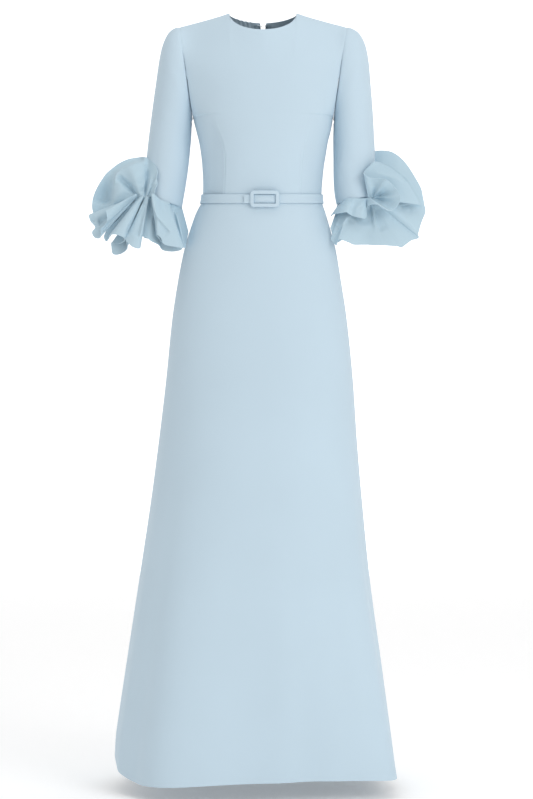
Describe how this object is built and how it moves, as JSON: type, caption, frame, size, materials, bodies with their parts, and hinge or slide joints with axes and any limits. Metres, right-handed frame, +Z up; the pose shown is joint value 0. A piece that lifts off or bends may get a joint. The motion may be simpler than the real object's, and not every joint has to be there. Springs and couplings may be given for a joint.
{
  "type": "a-line gown",
  "caption": "Floor-length a-line gown with jewel neck, set-in sleeves, ruffled cuffs, self belt with covered buckle and centre-back zip.",
  "frame": {"origin": "midway between the two neck points, at the height where the gown hangs on the wearer's shoulders", "axes": "+Z up along the body, -Y towards the front of the gown, -X towards the viewer's left as seen from the front"},
  "size_m": [0.6728, 0.4685, 1.5132],
  "materials": {
    "crepe": "matte",
    "ruffle": "satin",
    "belt": "matte",
    "zip_tape": "matte",
    "metal": "satin"
  },
  "bodies": {
    "garment": {"bodice_front": "crepe", "bodice_back_left": "crepe", "bodice_back_right": "crepe", "skirt_front": "crepe", "skirt_back_left": "crepe", "skirt_back_right": "crepe", "sleeve_left": "crepe", "sleeve_right": "crepe", "cuff_flounce_left": "ruffle", "cuff_flounce_right": "ruffle", "cuff_lobe_left": "ruffle", "cuff_fan_left": "ruffle", "cuff_disc_right": "ruffle", "cuff_frill_right": "ruffle", "belt_band": "belt", "belt_strap_end": "belt", "belt_buckle": "belt", "zip_tape_left": "zip_tape", "zip_tape_right": "zip_tape", "zip_slider": "metal", "neck_hook": "metal", "neck_eye": "metal"},
    "zip_pull": {"zip_pull_tab": "metal"}
  },
  "joints": [
    {"name": "pull_tab_hinge", "type": "hinge", "parent": "garment", "child": "zip_pull", "pos_m": [0, 0.08867, -0.06546], "axis": [1, 0, 0], "range_deg": [0, 160]}
  ]
}
